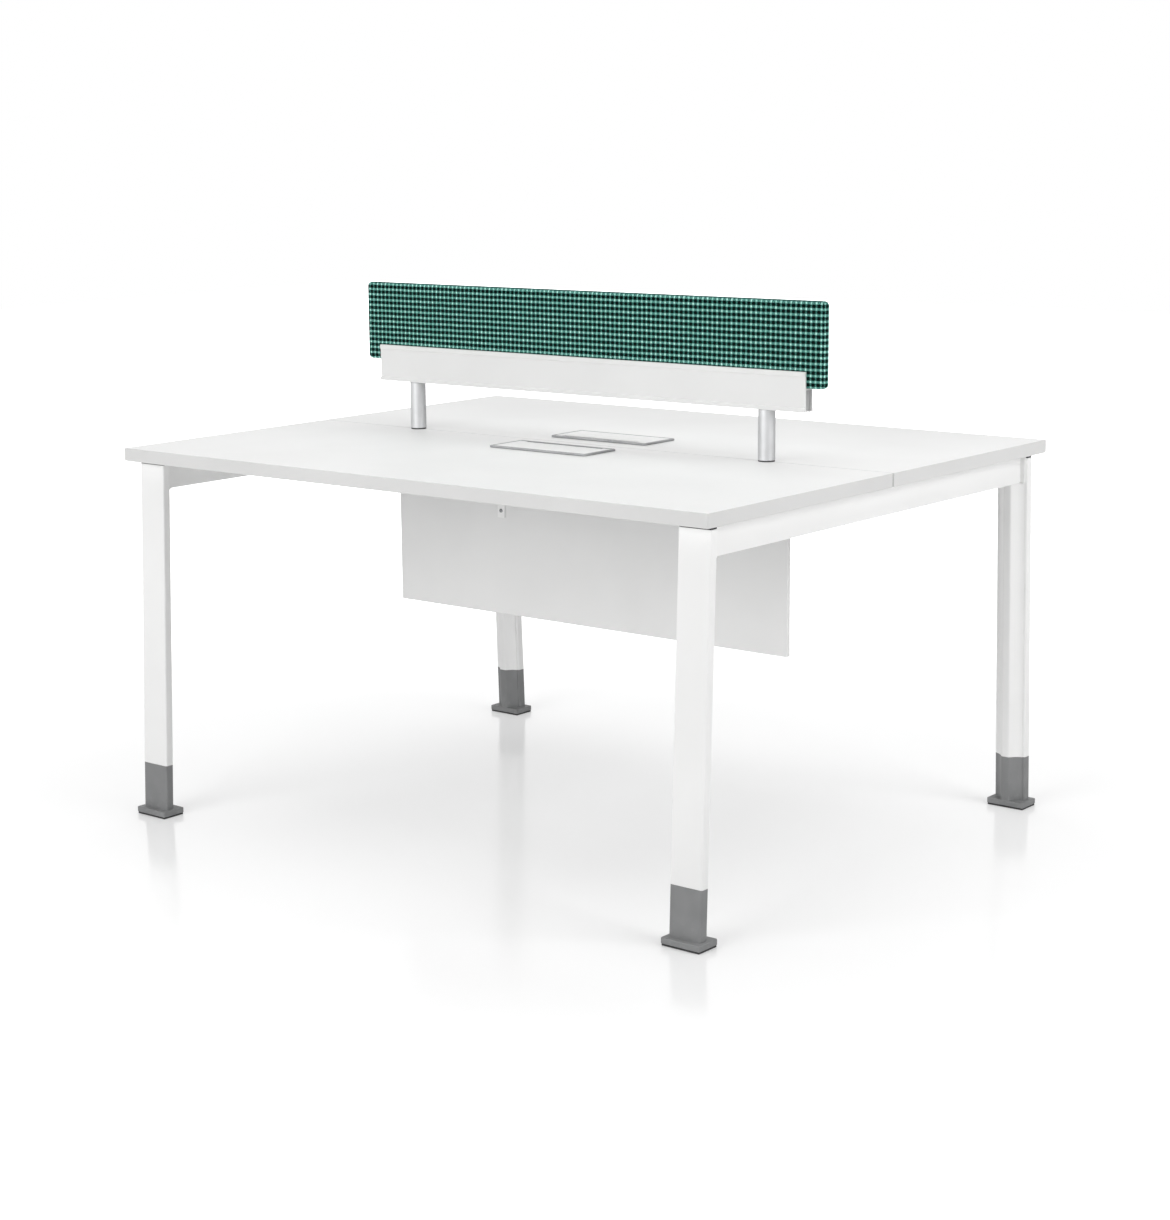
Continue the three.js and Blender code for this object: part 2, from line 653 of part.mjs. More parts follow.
// Lid of a flap: a plate with a lug at each end, rolled into a knuckle; cables pass between the lugs
function flapLid() {
  const depth = lidRear - lidFront;
  const outline = roundedRectangle(
    new THREE.Shape(), 0, (lidFront + lidRear) / 2, 2 * lidHalfX, depth, LID_CORNER,
  );
  const panel = plate(outline, LID_THICKNESS, LID_EASE).translate(0, 0, lidUnderside);
  const lugRoot = lidRear - LUG_LENGTH / 2;
  const underKnuckle = Math.asin((hingeZ - lidUnderside) / KNUCKLE_RADIUS);
  const section = new THREE.Shape();
  section.moveTo(lugRoot, lidUnderside + LID_EASE);
  section.lineTo(lugRoot, FLAP_RISE);
  section.absarc(hingeY, hingeZ, KNUCKLE_RADIUS, Math.PI / 2, underKnuckle - Math.PI, true);
  section.lineTo(lidRear, lidUnderside);
  section.closePath();
  const rightLug = alongX(prism(section, lidHalfX - LUG_LENGTH, lidHalfX, BEND_FACETS));
  const leftLug = rightLug.clone().translate(LUG_LENGTH - 2 * lidHalfX, 0, 0);
  const pinHole = alongHinge(PIN_RADIUS + PIN_PLAY, -openHalfX, openHalfX);
  return inFrontTop(cut(join(panel, rightLug, leftLug), pinHole));
}

// Hinge pin: from inside a lug into the frame
function flapPin(side) {
  const tip = openHalfX + PIN_BITE;
  const outer = side * tip;
  const inner = side * (tip - PIN_LENGTH);
  return inFrontTop(alongHinge(PIN_RADIUS, Math.min(inner, outer), Math.max(inner, outer)));
}

// Rail of the screen: two walls joined by a web, with a bead along each edge and a T-slot underneath
function screenChannel() {
  const out = CHANNEL_THICKNESS / 2;
  const panel = out - BEAD_STEP;
  const slot = T_SLOT_WIDTH / 2;
  const low = channelBottom;
  const high = channelBottom + CHANNEL_HEIGHT;
  const rightSide = [
    [slot, low],
    [out, low],
    [out, low + LOWER_BEAD],
    [panel, low + LOWER_BEAD + BEAD_STEP],
    [panel, high - UPPER_BEAD - BEAD_STEP],
    [out, high - UPPER_BEAD],
    [out, high - BEAD_STEP],
    [panel, high],
    [chamberHalf, high],
    [chamberHalf, screenBottom - SEAT],
  ];
  const chamber = [
    [-slot, chamberFloor],
    [-chamberHalf, chamberFloor],
    [-chamberHalf, chamberTop],
    [chamberHalf, chamberTop],
    [chamberHalf, chamberFloor],
    [slot, chamberFloor],
  ];
  const leftSide = rightSide.map(([y, z]) => [-y, z]).reverse();
  const section = polygon([...rightSide, ...leftSide, ...chamber]);
  return alongX(prism(section, -CHANNEL_LENGTH / 2, CHANNEL_LENGTH / 2));
}

// End plug: closes the chamber of the screen's rail, set back from its right end
function endPlug() {
  const width = 2 * (chamberHalf - SEAT);
  const height = chamberTop - chamberFloor - 2 * SEAT;
  const middle = (chamberFloor + chamberTop) / 2;
  const outline = roundedRectangle(new THREE.Shape(), 0, middle, width, height, END_PLUG_CORNER);
  const inner = CHANNEL_LENGTH / 2 - END_PLUG_RECESS - END_PLUG_LENGTH;
  return alongX(plate(outline, END_PLUG_LENGTH, END_PLUG_EASE)).translate(inner, 0, 0);
}

// Screen: a board with rounded corners and soft edges, covered in fabric
function screenBoard() {
  const middle = screenBottom + SCREEN_HEIGHT / 2;
  const outline = roundedRectangle(
    new THREE.Shape(), 0, middle, SCREEN_LENGTH, SCREEN_HEIGHT, SCREEN_CORNER,
  );
  return standing(plate(outline, SCREEN_THICKNESS, SCREEN_ROUND, CORNER_FACETS), SCREEN_THICKNESS);
}

// Ring under a post, and the post: a tube from the ring up to the screen's rail
const ringBottom = DESK_HEIGHT + SEAT;
const ringTop = ringBottom + RING_THICKNESS;

function postRing() {
  const radius = POST_RADIUS - RING_INSET;
  const bore = T_BOLT_RADIUS + PLAY;
  const points = [
    [bore, ringBottom],
    [radius, ringBottom],
    [radius, ringTop],
    [bore, ringTop],
    [bore, ringBottom],
  ];
  return turned(points);
}

function screenPost() {
  const low = ringTop + SEAT;
  const high = channelBottom - SEAT;
  const bore = POST_RADIUS - POST_WALL;
  const points = [
    [bore, low],
    [POST_RADIUS - POST_EASE, low],
    [POST_RADIUS, low + POST_EASE],
    [POST_RADIUS, high - POST_EASE],
    [POST_RADIUS - POST_EASE, high],
    [bore, high],
    [bore, low],
  ];
  return turned(points);
}

// T-bolt through a post and the seam; its head sits in the slot of the screen's rail
const clampTop = underside - SEAT;
const clampBottom = clampTop - PLATE;
const nutTop = clampBottom - SEAT;
const nutBottom = nutTop - NUT_THICKNESS;

function tBolt() {
  const headBottom = channelBottom + CHANNEL_WEB + SEAT;
  const half = T_HEAD_WIDTH / 2;
  const head = block(-half, half, -half, half, headBottom, headBottom + T_HEAD_THICKNESS);
  const shank = upright(T_BOLT_RADIUS, nutBottom - T_BOLT_TAIL, headBottom + PLAY, ROUND_FACETS / 2);
  return join(head, shank);
}

function seamClamp() {
  const halfX = CLAMP_LENGTH / 2;
  const halfY = CLAMP_WIDTH / 2;
  const bar = block(-halfX, halfX, -halfY, halfY, clampBottom, clampTop);
  return cut(bar, upright(T_BOLT_RADIUS + PLAY, clampBottom - PLAY, clampTop + PLAY, ROUND_FACETS / 2));
}

function clampNut() {
  const hexagon = upright(NUT_ACROSS_CORNERS / 2, nutBottom, nutTop, 6);
  return cut(hexagon, upright(T_BOLT_RADIUS + SEAT, nutBottom - PLAY, nutTop + PLAY, ROUND_FACETS / 2));
}

// One user's half of the desk, drawn at the front; the rear half is the same, turned half a turn
function halfDesk(user, turn) {
  const half = new THREE.Group();
  half.name = `${user}_half`;
  half.rotation.z = turn ? Math.PI : 0;
  add(half, `worktop_${user}`, worktop(), laminate);
  add(half, `beam_${user}`, beam(), greyPaint);
  add(half, `flap_frame_${user}`, flapFrame(), satinAluminium);
  add(half, `flap_lid_${user}`, flapLid(), laminate);
  for (const side of [-1, 1]) {
    const hand = (side > 0) === turn ? "left" : "right";
    const place = `${user}_${hand}`;
    add(half, `leg_${place}`, leg().translate(side * legX, 0, 0), whitePaint);
    add(half, `leg_cover_${place}`, legCover().translate(side * legX, 0, 0), whitePaint);
    add(half, `leg_cap_${place}`, legCap().translate(side * legX, 0, 0), darkPlastic);
    add(half, `boot_${place}`, boot().translate(side * legX, 0, 0), greyPlastic);
    add(half, `glide_${place}`, glide().translate(side * legX, 0, 0), darkPlastic);
    add(half, `nut_plate_${place}`, nutPlate().translate(side * legX, 0, 0), zincSteel);
    add(half, `flap_pin_${place}`, flapPin(side), zincSteel);
    const hangerX = hand === "left" ? -HANGER_LEFT : HANGER_RIGHT;
    add(half, `panel_hanger_${place}`, panelHanger().translate(turn ? -hangerX : hangerX, 0, 0), whitePaint);
  }
  desk.add(half);
}

halfDesk("front", false);
halfDesk("rear", true);

// Pieces on the desk's middle line, and the end rails
add(desk, "cable_tray", cableTray(), greyPaint);
add(desk, "modesty_panel", modestyPanel(), whiteBoard);
add(desk, "screen_rail", screenChannel(), whitePaint);
add(desk, "screen_board", screenBoard(), greenFabric);
for (const side of [-1, 1]) {
  const hand = side > 0 ? "right" : "left";
  add(desk, `end_rail_${hand}`, endRail().translate(side * legX, 0, 0), whitePaint);
  add(desk, `rail_plug_${hand}`, endPlug().rotateZ(side > 0 ? 0 : Math.PI), whitePaint);
  add(desk, `screen_post_${hand}`, screenPost().translate(side * postX, 0, 0), satinAluminium);
  add(desk, `post_ring_${hand}`, postRing().translate(side * postX, 0, 0), darkPlastic);
  add(desk, `t_bolt_${hand}`, tBolt().translate(side * postX, 0, 0), zincSteel);
  add(desk, `seam_clamp_${hand}`, seamClamp().translate(side * postX, 0, 0), zincSteel);
  add(desk, `clamp_nut_${hand}`, clampNut().translate(side * postX, 0, 0), zincSteel);
}

export default desk;
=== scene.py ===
# Benching desk for two: finishes, fabric screen, fasteners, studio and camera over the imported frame.
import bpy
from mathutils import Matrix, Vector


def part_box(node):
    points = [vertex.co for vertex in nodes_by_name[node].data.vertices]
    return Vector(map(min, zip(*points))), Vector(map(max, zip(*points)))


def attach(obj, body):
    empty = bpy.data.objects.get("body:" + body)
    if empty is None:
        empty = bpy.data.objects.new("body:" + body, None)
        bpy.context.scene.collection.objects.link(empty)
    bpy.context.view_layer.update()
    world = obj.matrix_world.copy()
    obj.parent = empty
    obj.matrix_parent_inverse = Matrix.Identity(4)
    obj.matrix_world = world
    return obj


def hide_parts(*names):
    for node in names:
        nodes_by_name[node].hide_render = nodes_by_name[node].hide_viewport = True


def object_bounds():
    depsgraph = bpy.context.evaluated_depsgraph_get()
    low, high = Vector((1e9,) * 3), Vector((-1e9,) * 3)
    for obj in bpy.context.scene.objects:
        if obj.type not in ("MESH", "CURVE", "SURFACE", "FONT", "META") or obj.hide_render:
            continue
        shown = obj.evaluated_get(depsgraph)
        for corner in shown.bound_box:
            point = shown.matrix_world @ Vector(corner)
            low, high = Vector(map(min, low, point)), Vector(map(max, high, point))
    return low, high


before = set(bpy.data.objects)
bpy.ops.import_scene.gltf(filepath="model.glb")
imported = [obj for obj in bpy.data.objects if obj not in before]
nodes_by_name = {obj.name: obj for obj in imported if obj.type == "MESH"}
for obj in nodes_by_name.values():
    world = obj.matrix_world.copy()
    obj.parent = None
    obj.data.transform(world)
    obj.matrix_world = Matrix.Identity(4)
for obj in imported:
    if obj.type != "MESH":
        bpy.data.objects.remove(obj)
cad_box = [list(corner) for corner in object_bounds()]

import math

import bmesh
import bpy
from mathutils import Matrix, Vector

MM = 0.001

# Camera: where it stands, which way it looks, and how the picture is framed (picture of 1170 by 1220)
PICTURE_WIDTH = 1170.0
PICTURE_HEIGHT = 1220.0
CAMERA_PLACE = (2.9574, -3.7086, 1.3528)
CAMERA_TURN = math.radians(-40.293)
CAMERA_PITCH = math.radians(11.173)
CAMERA_ROLL = math.radians(0.733)
FOCAL_PIXELS = 2456.0
PICTURE_CENTRE = (511.4, 605.7)
SENSOR_WIDTH = 36.0

# Finishes, as linear colours
LAMINATE_WHITE = (0.885, 0.885, 0.88, 1)
LAMINATE_SHADE = (0.86, 0.86, 0.855, 1)
LID_WHITE = (0.89, 0.89, 0.885, 1)
LID_SHADE = (0.87, 0.87, 0.865, 1)
# Worktop sides: painted shade, a duller white for the upright sides, which catch less light than the faces
SIDE_PAINTED_SHADE = (0.69, 0.69, 0.685, 1)
SIDE_PAINTED_SHADE_DARKER = (0.66, 0.66, 0.655, 1)
COAT_WHITE = (0.885, 0.885, 0.88, 1)
COAT_SHADE = (0.86, 0.86, 0.855, 1)
RAIL_WHITE = (0.83, 0.83, 0.825, 1)
RAIL_SHADE = (0.805, 0.805, 0.80, 1)
# Rail end plugs: painted shade, a grey that stands in for the shade inside the rail's open ends
PLUG_PAINTED_SHADE = (0.42, 0.422, 0.425, 1)
PLUG_PAINTED_SHADE_DARKER = (0.37, 0.372, 0.375, 1)
PANEL_WHITE = (0.785, 0.785, 0.78, 1)
PANEL_SHADE = (0.755, 0.755, 0.75, 1)
BOOT_GREY = (0.235, 0.238, 0.24, 1)
BOOT_SHADE = (0.20, 0.203, 0.205, 1)
BOOT_RUBBED = (0.36, 0.362, 0.365, 1)
DARK_PLASTIC = (0.018, 0.018, 0.019, 1)
DARK_SHADE = (0.028, 0.028, 0.029, 1)
BEAM_GREY = (0.50, 0.505, 0.51, 1)
BEAM_SHADE = (0.46, 0.465, 0.47, 1)
ALUMINIUM = (0.585, 0.59, 0.597, 1)
ALUMINIUM_SHADE = (0.525, 0.53, 0.537, 1)
FRAME_GREY = (0.40, 0.405, 0.41, 1)
FRAME_SHADE = (0.34, 0.345, 0.35, 1)
ZINC = (0.56, 0.57, 0.58, 1)
ZINC_SHADE = (0.44, 0.45, 0.46, 1)
SCREW_GREY = (0.30, 0.305, 0.31, 1)
SCREW_SHADE = (0.22, 0.225, 0.23, 1)

# Cloth: its yarns, how they make the check, and how far they stray
YARN_PALE = (0.56, 0.92, 0.84, 1)
YARN_DULL = (0.30, 0.66, 0.57, 1)
YARN_WEFT = (0.17, 0.52, 0.44, 1)
YARN_WARP = (0.09, 0.34, 0.28, 1)
YARN_DARK = (0.0002, 0.005, 0.0042, 1)
CHECK_PITCH = 10.8 * MM
YARNS_IN_CHECK = 10
LIGHT_WARPS = 3
LIGHT_WEFTS = 4
WEAVE_WANDER = 1.6 * MM
WEAVE_REPEAT = 4.0
WEAVE_OVER = 2.0
WANDER_PER_METRE = 45.0
STRAY_PER_METRE = 900.0
DYE_PER_METRE = 75.0
STRAY_LIFT = 0.4

# Roughness of the finishes that are not made by toothed, from the low to the high places of their grain
LAMINATE_ROUGHNESS = (0.42, 0.52)
BOOT_ROUGHNESS = (0.48, 0.62)
CLOTH_ROUGHNESS = (0.85, 1.0)

# How far rubbing lightens a boot
RUB_STRENGTH = 0.35

# Noise keeps near its middle: these spans of it are stretched over the whole reach of an effect
DRIFT_SPAN = (0.35, 0.65)
GRAIN_SPAN = (0.3, 0.7)
RUB_SPAN = (0.52, 0.72)

# How squarely a surface faces an axis before it counts as an edge of the screen or a face of a worktop
EDGE_FACING = 0.7
FLAT_FACING = 0.9

# Degrees of bend that still shade as one round surface
SOLID_BEND = 50
CLOTH_BEND = 40
SCREW_BEND = 35

# Cloth screen: corner, soft edge, and how its faces swell, as inset from the edge and share of the swell
CLOTH_CORNER = 9.0 * MM
CLOTH_CORNER_LEAST = 1.2 * MM
CLOTH_EDGE = 4.0 * MM
CLOTH_SWELL = 0.5 * MM
SWELL_STEPS = ((6.0 * MM, 0.6), (16.0 * MM, 1.0), (40.0 * MM, 1.0))
EDGE_STEPS = 4
CORNER_STEPS = 6

# Fasteners: each screw's radius and height, each bolt's outline as radius and rise, and where they sit
STRAP_SHEET = 2.0 * MM
STRAP_SCREW = (4.0 * MM, 2.6 * MM)
STRAP_SCREW_RISE = 14.0 * MM
TRAY_SCREW = (5.0 * MM, 3.0 * MM)
TRAY_SCREW_INSET = 13.0 * MM
DOME_OUTLINE = ((1.0, 0.0), (1.0, 0.25), (0.92, 0.55), (0.7, 0.85), (0.45, 1.0), (0.42, 0.45))
WASHER_OUTLINE = ((9.0, 0.0), (9.0, 1.2), (8.6, 1.6))
HEAD_OUTLINE = ((7.2, 1.6), (7.5, 2.1), (7.5, 6.2), (6.6, 7.0))
BEAM_PLATE = 4.0 * MM
BEAM_BOLT_INSET = 10.0 * MM
SCREW_SIDES = 20
WASHER_SIDES = 24
HEAD_SIDES = 6

# Studio: the surround and its brighter rear side, and the side that reflections see as dimmer
WHITE = (1, 1, 1, 1)
SURROUND = 0.14
REAR_GLOW = 0.85
REAR_SIDE = (-0.60, 0.79, 0.12)
REAR_FALLOFF = 2.0
DIM_SIDE = (0.66, 0.75, 0.0)
DIM_SPAN = (0.1, 0.9)
DIM_LEVEL = 0.35

# Floor: painted light, its own glow under the desk, how that tilts, and how it grows outward to white, in
# half sizes of the desk
FLOOR_REACH = 12.0
FLOOR_WHITE = (0.9, 0.9, 0.9, 1)
FLOOR_ROUGHNESS = 0.15
FLOOR_GLOW = 0.135
GLOW_TILT = (-0.045, 0.047, 0.0)
RIM_GLOW = 0.06
RIM_SPAN = (0.3, 1.3)
FAR_GLOW = 0.9
FAR_SPAN = (1.6, 4.5)

# Lamps: name, place, aim, size and power
LAMPS = (
    ("overhead", (0.2, -0.05, 3.6), (0.2, -0.05, 0.7), (4.6, 3.4), 67.0),
    ("front_key", (-0.4, -4.6, 1.7), (0, 0, 0.5), (3.0, 2.4), 103.0),
    ("right_fill", (3.8, 0.2, 2.1), (0.4, 0, 0.6), (2.2, 2.2), 68.0),
)


# Node helpers
def place(tree, kind, **settings):
    node = tree.nodes.new(kind)
    for key, value in settings.items():
        setattr(node, key, value)
    return node


def math_node(tree, operation, first, second=None, third=None):
    node = place(tree, "ShaderNodeMath", operation=operation)
    for index, value in enumerate((first, second, third)):
        if value is None:
            continue
        if isinstance(value, (int, float)):
            node.inputs[index].default_value = value
        else:
            tree.links.new(value, node.inputs[index])
    return node.outputs[0]


def blend_colours(tree, factor, first, second):
    node = place(tree, "ShaderNodeMix", data_type="RGBA")
    tree.links.new(factor, node.inputs[0])
    for socket, value in ((node.inputs[6], first), (node.inputs[7], second)):
        if isinstance(value, tuple):
            socket.default_value = value
        else:
            tree.links.new(value, socket)
    return node.outputs[2]


def spread(tree, value, low, high, to_low, to_high, curve="LINEAR"):
    node = place(tree, "ShaderNodeMapRange", interpolation_type=curve)
    tree.links.new(value, node.inputs["Value"])
    node.inputs["From Min"].default_value = low
    node.inputs["From Max"].default_value = high
    node.inputs["To Min"].default_value = to_low
    node.inputs["To Max"].default_value = to_high
    return node.outputs["Result"]


def new_group(name, inputs, outputs):
    group = bpy.data.node_groups.new(name, "ShaderNodeTree")
    for label, value in inputs:
        socket = group.interface.new_socket(label, in_out="INPUT", socket_type="NodeSocketFloat")
        socket.default_value = value
    for label, kind in outputs:
        group.interface.new_socket(label, in_out="OUTPUT", socket_type=kind)
    return group, place(group, "NodeGroupInput"), place(group, "NodeGroupOutput")


# Surface tooth: fine grain for bump, and slow drift of tone, at the sizes a material asks for
def make_tooth_group():
    group, entry, exit_node = new_group(
        "surface_tooth",
        (("Grain per metre", 900.0), ("Drift per metre", 5.0), ("Stretch", 1.0)),
        (("Height", "NodeSocketFloat"), ("Drift", "NodeSocketFloat")),
    )
    where = place(group, "ShaderNodeTexCoord")
    split = place(group, "ShaderNodeSeparateXYZ")
    group.links.new(where.outputs["Object"], split.inputs[0])
    join = place(group, "ShaderNodeCombineXYZ")
    group.links.new(math_node(group, "DIVIDE", split.outputs[0], entry.outputs["Stretch"]), join.inputs[0])
    group.links.new(split.outputs[1], join.inputs[1])
    group.links.new(split.outputs[2], join.inputs[2])
    grain = place(group, "ShaderNodeTexNoise")
    grain.inputs["Detail"].default_value = 3.0
    group.links.new(join.outputs[0], grain.inputs["Vector"])
    group.links.new(entry.outputs["Grain per metre"], grain.inputs["Scale"])
    drift = place(group, "ShaderNodeTexNoise")
    drift.inputs["Detail"].default_value = 2.0
    group.links.new(where.outputs["Object"], drift.inputs["Vector"])
    group.links.new(entry.outputs["Drift per metre"], drift.inputs["Scale"])
    group.links.new(grain.outputs["Fac"], exit_node.inputs["Height"])
    group.links.new(drift.outputs["Fac"], exit_node.inputs["Drift"])
    return group


# Handling marks: faint rubbed patches, thicker towards the floor where feet and brooms reach
def make_rub_group():
    group, entry, exit_node = new_group(
        "rub_marks",
        (("Reach", 0.12), ("Patch per metre", 60.0)),
        (("Mask", "NodeSocketFloat"),),
    )
    where = place(group, "ShaderNodeTexCoord")
    split = place(group, "ShaderNodeSeparateXYZ")
    group.links.new(where.outputs["Object"], split.inputs[0])
    patch = place(group, "ShaderNodeTexNoise")
    patch.inputs["Detail"].default_value = 5.0
    patch.inputs["Roughness"].default_value = 0.7
    group.links.new(where.outputs["Object"], patch.inputs["Vector"])
    group.links.new(entry.outputs["Patch per metre"], patch.inputs["Scale"])
    height = math_node(group, "DIVIDE", split.outputs[2], entry.outputs["Reach"])
    low = math_node(group, "MAXIMUM", math_node(group, "SUBTRACT", 1.0, height), 0.0)
    marks = spread(group, patch.outputs["Fac"], *RUB_SPAN, 0.0, 1.0)
    group.links.new(math_node(group, "MULTIPLY", marks, low), exit_node.inputs["Mask"])
    return group


# One yarn's round back, from a count of yarns
def yarn_ridge(tree, count):
    across = math_node(tree, "MULTIPLY", math_node(tree, "FRACT", count), math.pi)
    return math_node(tree, "SINE", across)


# Woven check: bands of light and dark yarn in both directions, woven two over and two under
def make_check_group():
    group, entry, exit_node = new_group(
        "woven_check",
        (("Pitch", CHECK_PITCH),),
        (("Colour", "NodeSocketColor"), ("Height", "NodeSocketFloat"), ("Fuzz", "NodeSocketFloat")),
    )
    where = place(group, "ShaderNodeTexCoord")
    spot = place(group, "ShaderNodeSeparateXYZ")
    group.links.new(where.outputs["Object"], spot.inputs[0])
    facing = place(group, "ShaderNodeSeparateXYZ")
    group.links.new(where.outputs["Normal"], facing.inputs[0])
    on_end = math_node(group, "GREATER_THAN", math_node(group, "ABSOLUTE", facing.outputs[0]), EDGE_FACING)
    on_edge = math_node(group, "GREATER_THAN", math_node(group, "ABSOLUTE", facing.outputs[2]), EDGE_FACING)
    along = math_node(group, "MULTIPLY_ADD", spot.outputs[1], on_end, spot.outputs[0])
    rise = math_node(group, "MULTIPLY_ADD", spot.outputs[1], on_edge, spot.outputs[2])
    wander = place(group, "ShaderNodeTexNoise")
    wander.inputs["Scale"].default_value = WANDER_PER_METRE
    wander.inputs["Detail"].default_value = 2.0
    group.links.new(where.outputs["Object"], wander.inputs["Vector"])
    drift = place(group, "ShaderNodeSeparateColor")
    group.links.new(wander.outputs["Color"], drift.inputs[0])
    along = math_node(group, "MULTIPLY_ADD", drift.outputs[0], WEAVE_WANDER, along)
    rise = math_node(group, "MULTIPLY_ADD", drift.outputs[1], WEAVE_WANDER, rise)
    yarns = math_node(group, "DIVIDE", YARNS_IN_CHECK, entry.outputs["Pitch"])
    along = math_node(group, "MULTIPLY", along, yarns)
    rise = math_node(group, "MULTIPLY", rise, yarns)
    warp = math_node(group, "FLOOR", along)
    weft = math_node(group, "FLOOR", rise)
    warp_place = math_node(group, "FLOORED_MODULO", warp, YARNS_IN_CHECK)
    weft_place = math_node(group, "FLOORED_MODULO", weft, YARNS_IN_CHECK)
    light_warp = math_node(group, "LESS_THAN", warp_place, LIGHT_WARPS)
    light_weft = math_node(group, "LESS_THAN", weft_place, LIGHT_WEFTS)
    step = math_node(group, "FLOORED_MODULO", math_node(group, "ADD", warp, weft), WEAVE_REPEAT)
    warp_over = math_node(group, "LESS_THAN", step, WEAVE_OVER)
    weft_over = math_node(group, "SUBTRACT", 1.0, warp_over)
    weft_shows = math_node(group, "MULTIPLY", light_weft, weft_over)
    light = math_node(group, "MULTIPLY_ADD", light_warp, warp_over, weft_shows)
    both_light = math_node(group, "MULTIPLY", light_warp, light_weft)
    stray = place(group, "ShaderNodeTexNoise")
    stray.inputs["Scale"].default_value = STRAY_PER_METRE
    stray.inputs["Detail"].default_value = 3.0
    group.links.new(where.outputs["Object"], stray.inputs["Vector"])
    dye = place(group, "ShaderNodeTexNoise")
    dye.inputs["Scale"].default_value = DYE_PER_METRE
    dye.inputs["Detail"].default_value = 1.0
    group.links.new(where.outputs["Object"], dye.inputs["Vector"])
    dyed = spread(group, dye.outputs["Fac"], *DRIFT_SPAN, 0.0, 1.0)
    pale = blend_colours(group, dyed, YARN_DULL, YARN_PALE)
    alone = blend_colours(group, warp_over, YARN_WEFT, YARN_WARP)
    yarn = blend_colours(group, both_light, alone, pale)
    colour = blend_colours(group, light, YARN_DARK, yarn)
    ridge_warp = yarn_ridge(group, along)
    ridge_weft = math_node(group, "MULTIPLY", yarn_ridge(group, rise), weft_over)
    ridge = math_node(group, "MULTIPLY_ADD", ridge_warp, warp_over, ridge_weft)
    height = math_node(group, "MULTIPLY_ADD", stray.outputs["Fac"], STRAY_LIFT, ridge)
    group.links.new(colour, exit_node.inputs["Colour"])
    group.links.new(height, exit_node.inputs["Height"])
    group.links.new(stray.outputs["Fac"], exit_node.inputs["Fuzz"])
    return group


tooth_group = make_tooth_group()
rub_group = make_rub_group()
check_group = make_check_group()


def new_material(name):
    material = bpy.data.materials.new(name)
    material.use_nodes = True
    tree = material.node_tree
    return material, tree, tree.nodes["Principled BSDF"]


def use_group(tree, group, **values):
    node = place(tree, "ShaderNodeGroup", node_tree=group)
    for label, value in values.items():
        node.inputs[label.replace("_", " ")].default_value = value
    return node


def add_bump(tree, shader, height, distance, strength):
    bump = place(tree, "ShaderNodeBump")
    bump.inputs["Distance"].default_value = distance
    bump.inputs["Strength"].default_value = strength
    tree.links.new(height, bump.inputs["Height"])
    tree.links.new(bump.outputs["Normal"], shader.inputs["Normal"])


# A finish with tooth: two close tones, roughness that drifts, and a fine bump
def toothed(name, tone, shade, rough, grain, bump, drift=5.0, stretch=1.0, metallic=0.0, strength=0.25):
    material, tree, shader = new_material(name)
    tooth = use_group(tree, tooth_group, Grain_per_metre=grain, Drift_per_metre=drift, Stretch=stretch)
    factor = spread(tree, tooth.outputs["Drift"], *DRIFT_SPAN, 0.0, 1.0)
    tree.links.new(blend_colours(tree, factor, tone, shade), shader.inputs["Base Color"])
    tree.links.new(spread(tree, tooth.outputs["Height"], *GRAIN_SPAN, *rough), shader.inputs["Roughness"])
    shader.inputs["Metallic"].default_value = metallic
    add_bump(tree, shader, tooth.outputs["Height"], distance=bump, strength=strength)
    return material


# Worktop: laminate on the faces, and painted shade on the sides: a duller white that stands in for the shade
# on the upright sides
def make_worktop_finish():
    material, tree, shader = new_material("white_laminate_top")
    tooth = use_group(tree, tooth_group, Grain_per_metre=1100.0, Drift_per_metre=4.0, Stretch=1.0)
    factor = spread(tree, tooth.outputs["Drift"], *DRIFT_SPAN, 0.0, 1.0)
    face = blend_colours(tree, factor, LAMINATE_WHITE, LAMINATE_SHADE)
    # Painted shade: the sides take the duller white, picked by which way the surface faces
    side = blend_colours(tree, factor, SIDE_PAINTED_SHADE, SIDE_PAINTED_SHADE_DARKER)
    where = place(tree, "ShaderNodeTexCoord")
    facing = place(tree, "ShaderNodeSeparateXYZ")
    tree.links.new(where.outputs["Normal"], facing.inputs[0])
    flat = math_node(tree, "GREATER_THAN", math_node(tree, "ABSOLUTE", facing.outputs[2]), FLAT_FACING)
    tree.links.new(blend_colours(tree, flat, side, face), shader.inputs["Base Color"])
    rough = spread(tree, tooth.outputs["Height"], *GRAIN_SPAN, *LAMINATE_ROUGHNESS)
    tree.links.new(rough, shader.inputs["Roughness"])
    add_bump(tree, shader, tooth.outputs["Height"], distance=0.06 * MM, strength=0.2)
    return material


# Boot: moulded grey with a fine spark texture, rubbed a little near the floor
def make_boot_finish():
    material, tree, shader = new_material("grey_moulding")
    tooth = use_group(tree, tooth_group, Grain_per_metre=1500.0, Drift_per_metre=14.0, Stretch=1.0)
    rub = use_group(tree, rub_group, Reach=0.07, Patch_per_metre=70.0)
    factor = spread(tree, tooth.outputs["Drift"], *DRIFT_SPAN, 0.0, 1.0)
    base = blend_colours(tree, factor, BOOT_GREY, BOOT_SHADE)
    rubbed = math_node(tree, "MULTIPLY", rub.outputs["Mask"], RUB_STRENGTH)
    tree.links.new(blend_colours(tree, rubbed, base, BOOT_RUBBED), shader.inputs["Base Color"])
    rough = spread(tree, tooth.outputs["Height"], *GRAIN_SPAN, *BOOT_ROUGHNESS)
    tree.links.new(rough, shader.inputs["Roughness"])
    add_bump(tree, shader, tooth.outputs["Height"], distance=0.12 * MM, strength=0.35)
    return material


